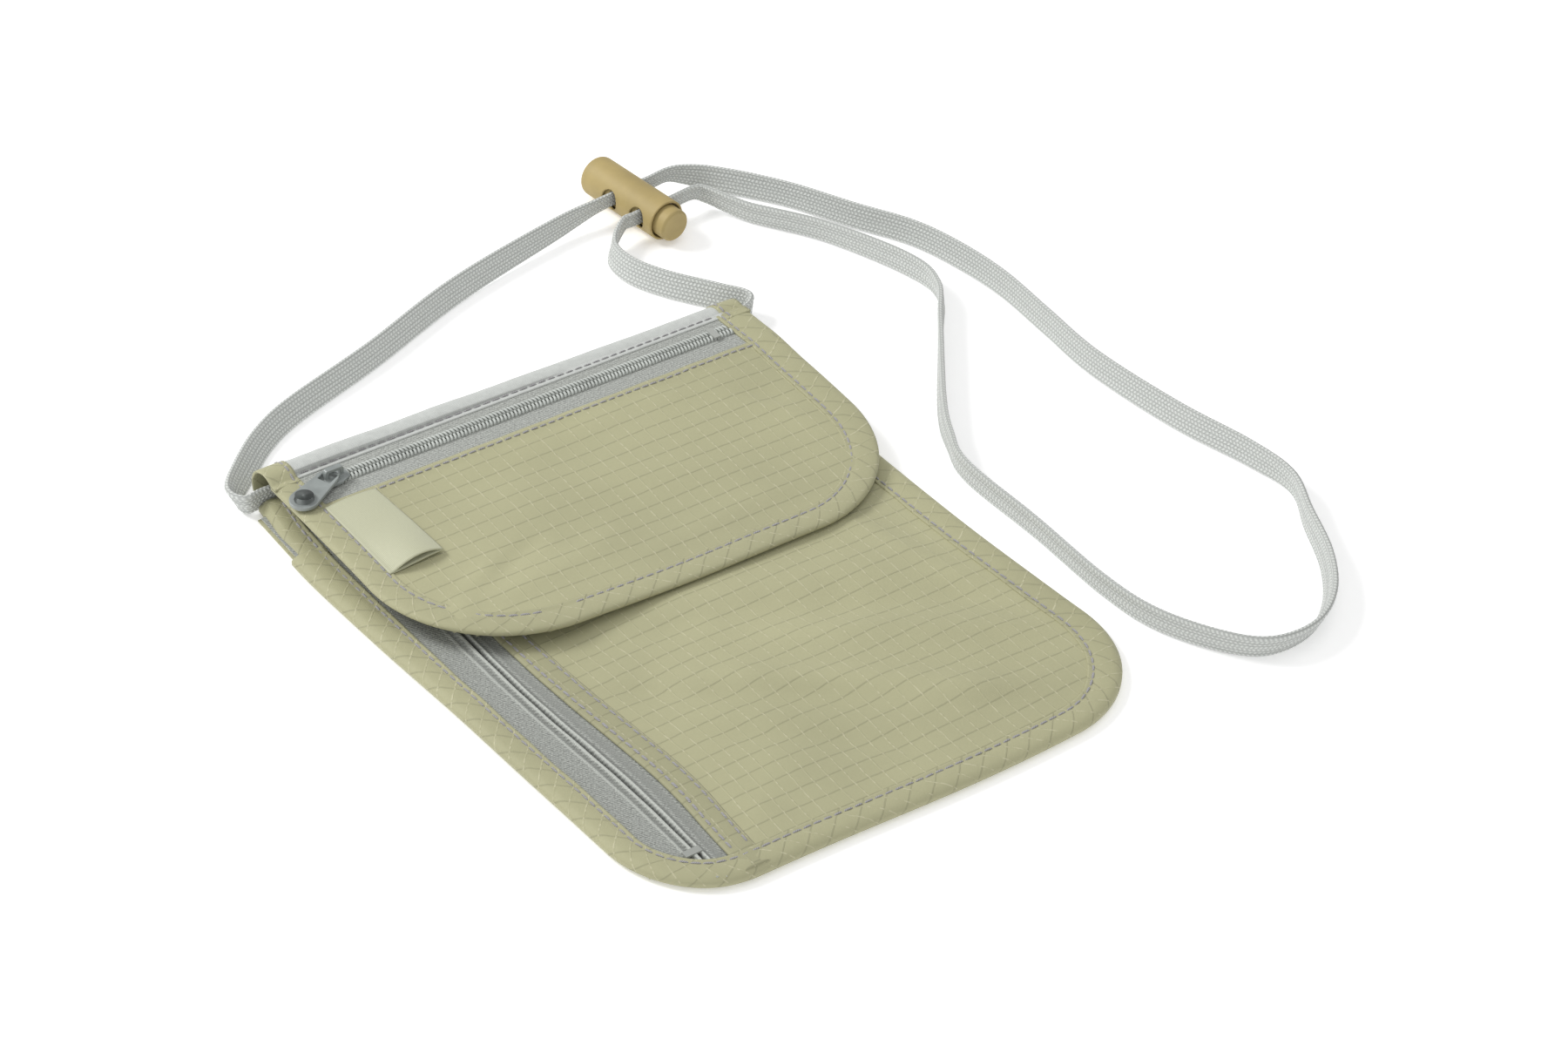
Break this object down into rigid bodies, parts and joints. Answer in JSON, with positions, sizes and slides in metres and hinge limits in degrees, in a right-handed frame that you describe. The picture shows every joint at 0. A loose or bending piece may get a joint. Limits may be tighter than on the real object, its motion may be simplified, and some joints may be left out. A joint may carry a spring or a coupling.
{
  "type": "neck pouch wallet",
  "caption": "Flat zipped travel pouch with a zipped flap, on a flat neck cord that runs through a barrel cord lock.",
  "frame": {"origin": "middle of the pouch, without its neck cord, on the surface that it lies on", "axes": "+X to the pouch's right, +Y to its folded top edge, +Z out of its front"},
  "size_m": [0.236, 0.2693, 0.0145],
  "materials": {
    "ripstop": "matte ripstop nylon",
    "binding": "folded ripstop nylon",
    "lining": "plain coated nylon",
    "zip_tape": "woven twill tape",
    "zip_coil": "nylon monofilament",
    "zip_metal": "satin grey paint",
    "thread": "twisted polyester",
    "fold_strip": "soft brushed knit",
    "label": "woven ribbon",
    "cord": "flat polyester braid",
    "lock_plastic": "satin moulded plastic",
    "spring_steel": "drawn wire"
  },
  "bodies": {
    "pouch": {"back_panel": "ripstop", "front_panel": "ripstop", "side_facing": "ripstop", "side_facing_stitches": "thread", "side_zip_tape_outer": "zip_tape", "side_zip_tape_inner": "zip_tape", "side_zip_coil_outer": "zip_coil", "side_zip_coil_inner": "zip_coil", "side_zip_stops": "zip_metal", "body_binding": "binding", "body_binding_stitches": "thread", "fold_tunnel": "fold_strip", "neck_cord": "cord", "cord_bar_tacks": "cord"},
    "flap": {"flap_fold_strip": "fold_strip", "flap_panel": "ripstop", "flap_lining": "lining", "flap_binding": "binding", "flap_binding_stitches": "thread", "flap_zip_tape_upper": "zip_tape", "flap_zip_tape_lower": "zip_tape", "flap_zip_coil_upper": "zip_coil", "flap_zip_coil_lower": "zip_coil", "flap_zip_stops": "zip_metal", "flap_zip_stitches": "thread", "label_tab": "label"},
    "flap_slider": {"flap_zip_slider": "zip_metal"},
    "flap_pull": {"flap_zip_pull": "zip_metal"},
    "side_slider": {"side_zip_slider": "zip_metal"},
    "side_pull": {"side_zip_pull": "zip_metal"},
    "cord_lock": {"lock_barrel": "lock_plastic", "lock_spring": "spring_steel"},
    "push_button": {"lock_button": "lock_plastic"}
  },
  "joints": [
    {"name": "flap_hinge", "type": "hinge", "parent": "pouch", "child": "flap", "pos_m": [0, 0.09, 0.004], "axis": [-1, 0, 0], "range_deg": [0, 120]},
    {"name": "flap_zip_slide", "type": "slide", "parent": "flap", "child": "flap_slider", "axis": [1, 0, 0], "range_m": [0, 0.112]},
    {"name": "flap_pull_swing", "type": "hinge", "parent": "flap_slider", "child": "flap_pull", "pos_m": [-0.06025, 0.079, 0.01275], "axis": [-0.4067, 0.9135, 0], "range_deg": [0, 150]},
    {"name": "side_zip_slide", "type": "slide", "parent": "pouch", "child": "side_slider", "axis": [0, -1, 0], "range_m": [0, 0.142]},
    {"name": "side_pull_swing", "type": "hinge", "parent": "side_slider", "child": "side_pull", "pos_m": [-0.0605, 0.07, 0.0047], "axis": [-1, 0, 0], "range_deg": [0, 8]},
    {"name": "lock_slide", "type": "slide", "parent": "pouch", "child": "cord_lock", "axis": [0.9945, 0.1045, 0], "range_m": [0, 0.008]},
    {"name": "button_press", "type": "slide", "parent": "cord_lock", "child": "push_button", "axis": [-0.1045, 0.9945, 0], "range_m": [0, 0.003], "stiffness_N_per_m": 800, "springref_m": -0.004, "deforming": ["lock_spring"]}
  ]
}
